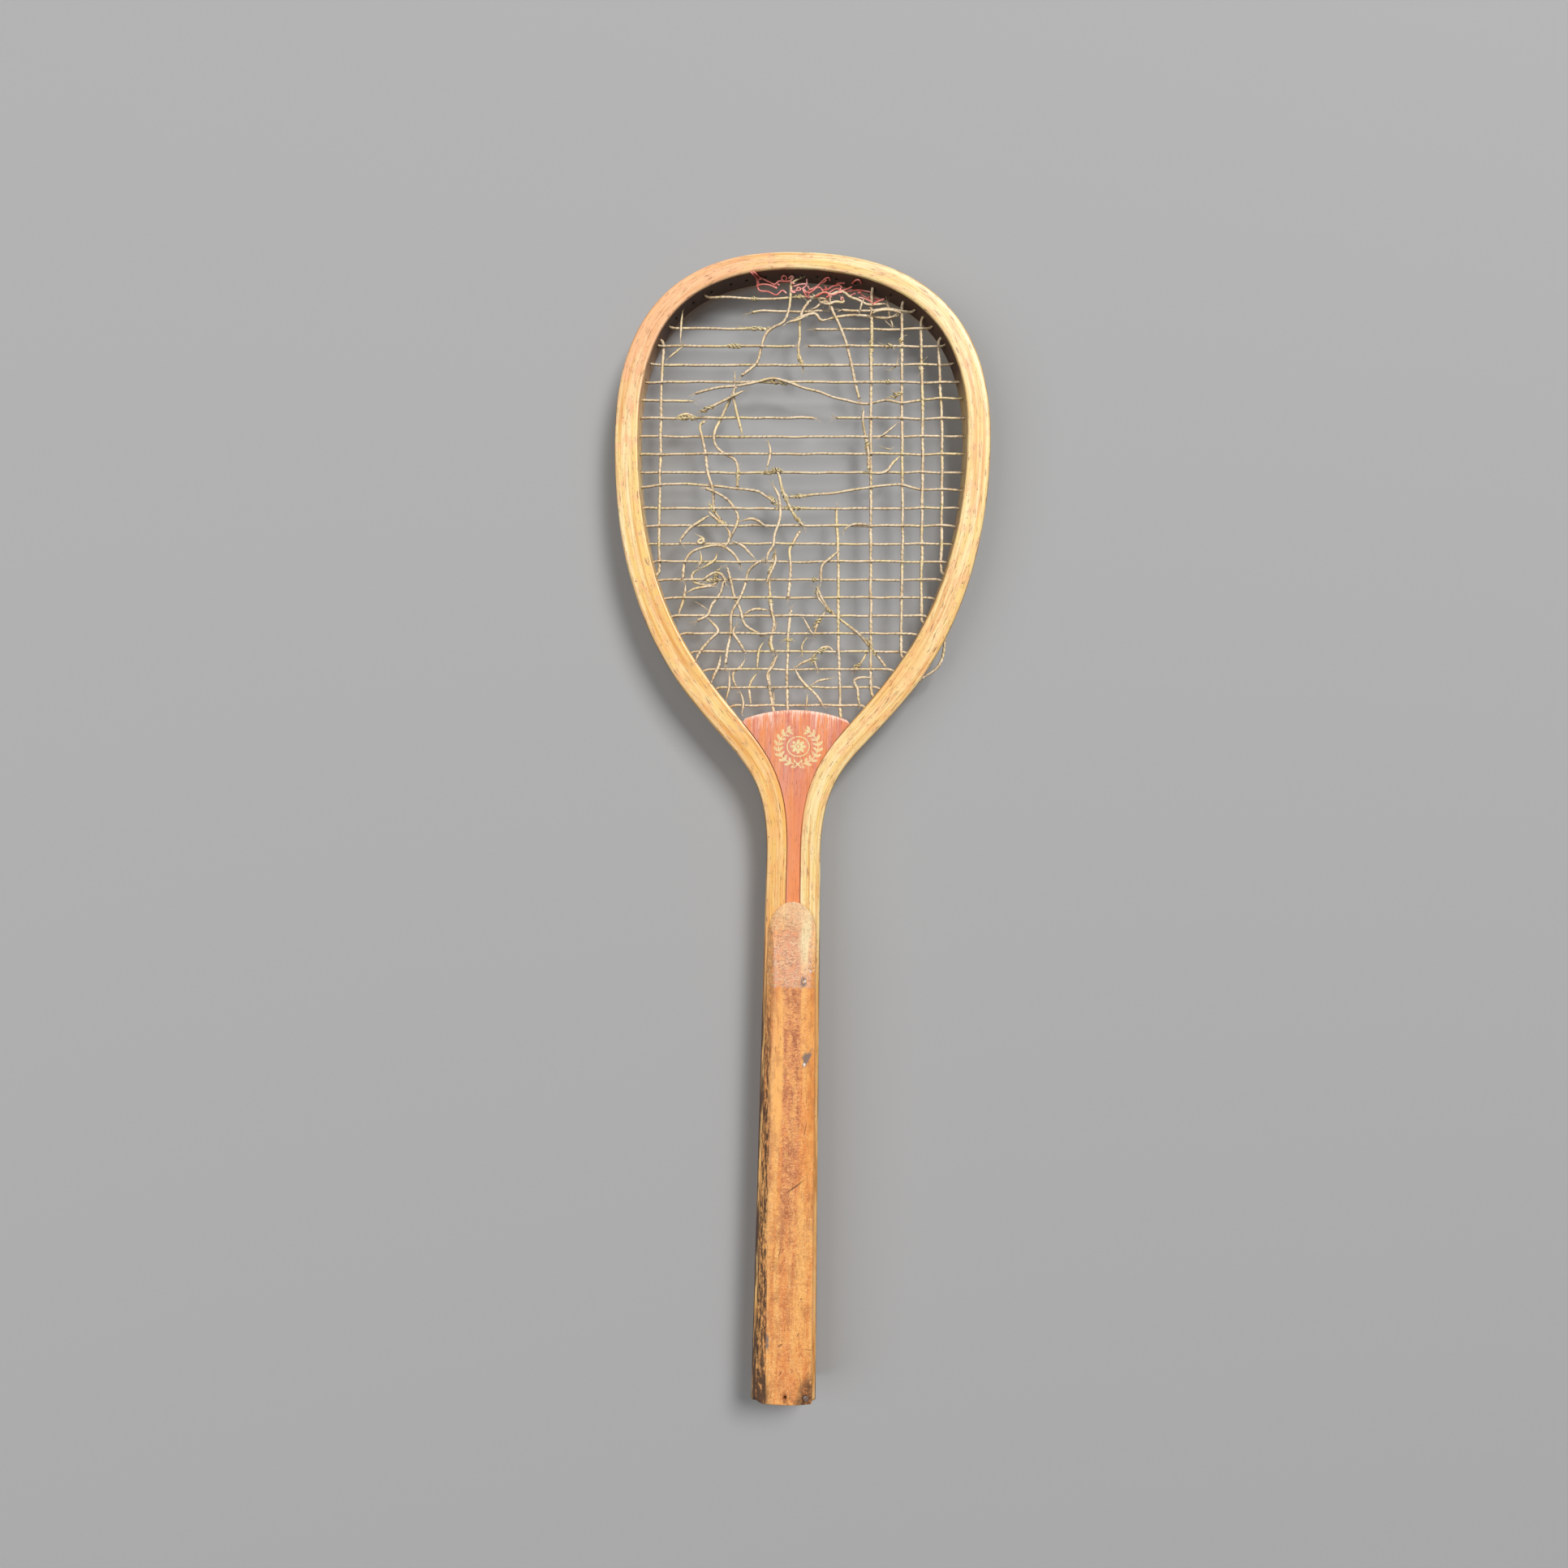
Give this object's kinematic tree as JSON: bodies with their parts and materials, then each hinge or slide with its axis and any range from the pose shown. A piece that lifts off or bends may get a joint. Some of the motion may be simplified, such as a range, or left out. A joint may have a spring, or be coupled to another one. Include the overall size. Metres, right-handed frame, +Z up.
{
  "type": "wooden tennis racket",
  "caption": "Old wooden lawn tennis racket: bent ash bow, dark wedge in the throat, worn eight-sided wooden handle, and gut strings that are partly broken and loose.",
  "frame": {"origin": "on the ground under the middle of the racket's length and width, with the racket lying on the back of its handle", "axes": "+Y runs from the butt of the handle to the top of the head, +X runs to the right across the head as seen from the front, and +Z points up out of the front face"},
  "size_m": [0.225, 0.6858, 0.0309],
  "materials": {
    "ash": "old honey-coloured varnish, satin",
    "mahogany": "red-brown, old varnish, satin",
    "worn_cheek": "worn and stained, mostly bare",
    "gut": "dry straw-coloured gut",
    "red_gut": "thin red-dyed gut",
    "rusty_steel": "dull and rusty"
  },
  "bodies": {
    "root": {"back_cheek": "worn_cheek", "bow": "ash", "broken_main_a": "gut", "broken_main_b": "gut", "broken_main_c": "gut", "broken_main_d": "gut", "broken_main_e": "gut", "broken_main_f": "gut", "broken_main_g": "gut", "broken_main_h": "gut", "broken_main_i": "gut", "broken_main_j": "gut", "broken_main_k": "gut", "broken_main_l": "gut", "butt_nail": "rusty_steel", "cross_01": "gut", "cross_02_left": "gut", "cross_02_right": "gut", "cross_03_left": "gut", "cross_03_right": "gut", "cross_04_left": "gut", "cross_04_right": "gut", "cross_05": "gut", "cross_06": "gut", "cross_07_left": "gut", "cross_07_long": "gut", "cross_08_left": "gut", "cross_08_right": "gut", "cross_09": "gut", "cross_10": "gut", "cross_11": "gut", "cross_12_left": "gut", "cross_12_right": "gut", "cross_13": "gut", "cross_14": "gut", "cross_15": "gut", "cross_16": "gut", "cross_17": "gut", "cross_18": "gut", "cross_19": "gut", "cross_20": "gut", "cross_21": "gut", "cross_22": "gut", "cross_23": "gut", "cross_24": "gut", "front_cheek": "worn_cheek", "groove_strand": "gut", "main_01": "gut", "main_07_lower": "gut", "main_07_upper": "gut", "main_08_lower": "gut", "main_08_upper": "gut", "main_11": "gut", "main_13": "gut", "main_15": "gut", "main_16": "gut", "main_17": "gut", "throat_wedge": "mahogany", "trebling_left": "red_gut", "trebling_right": "red_gut"}
  },
  "joints": []
}
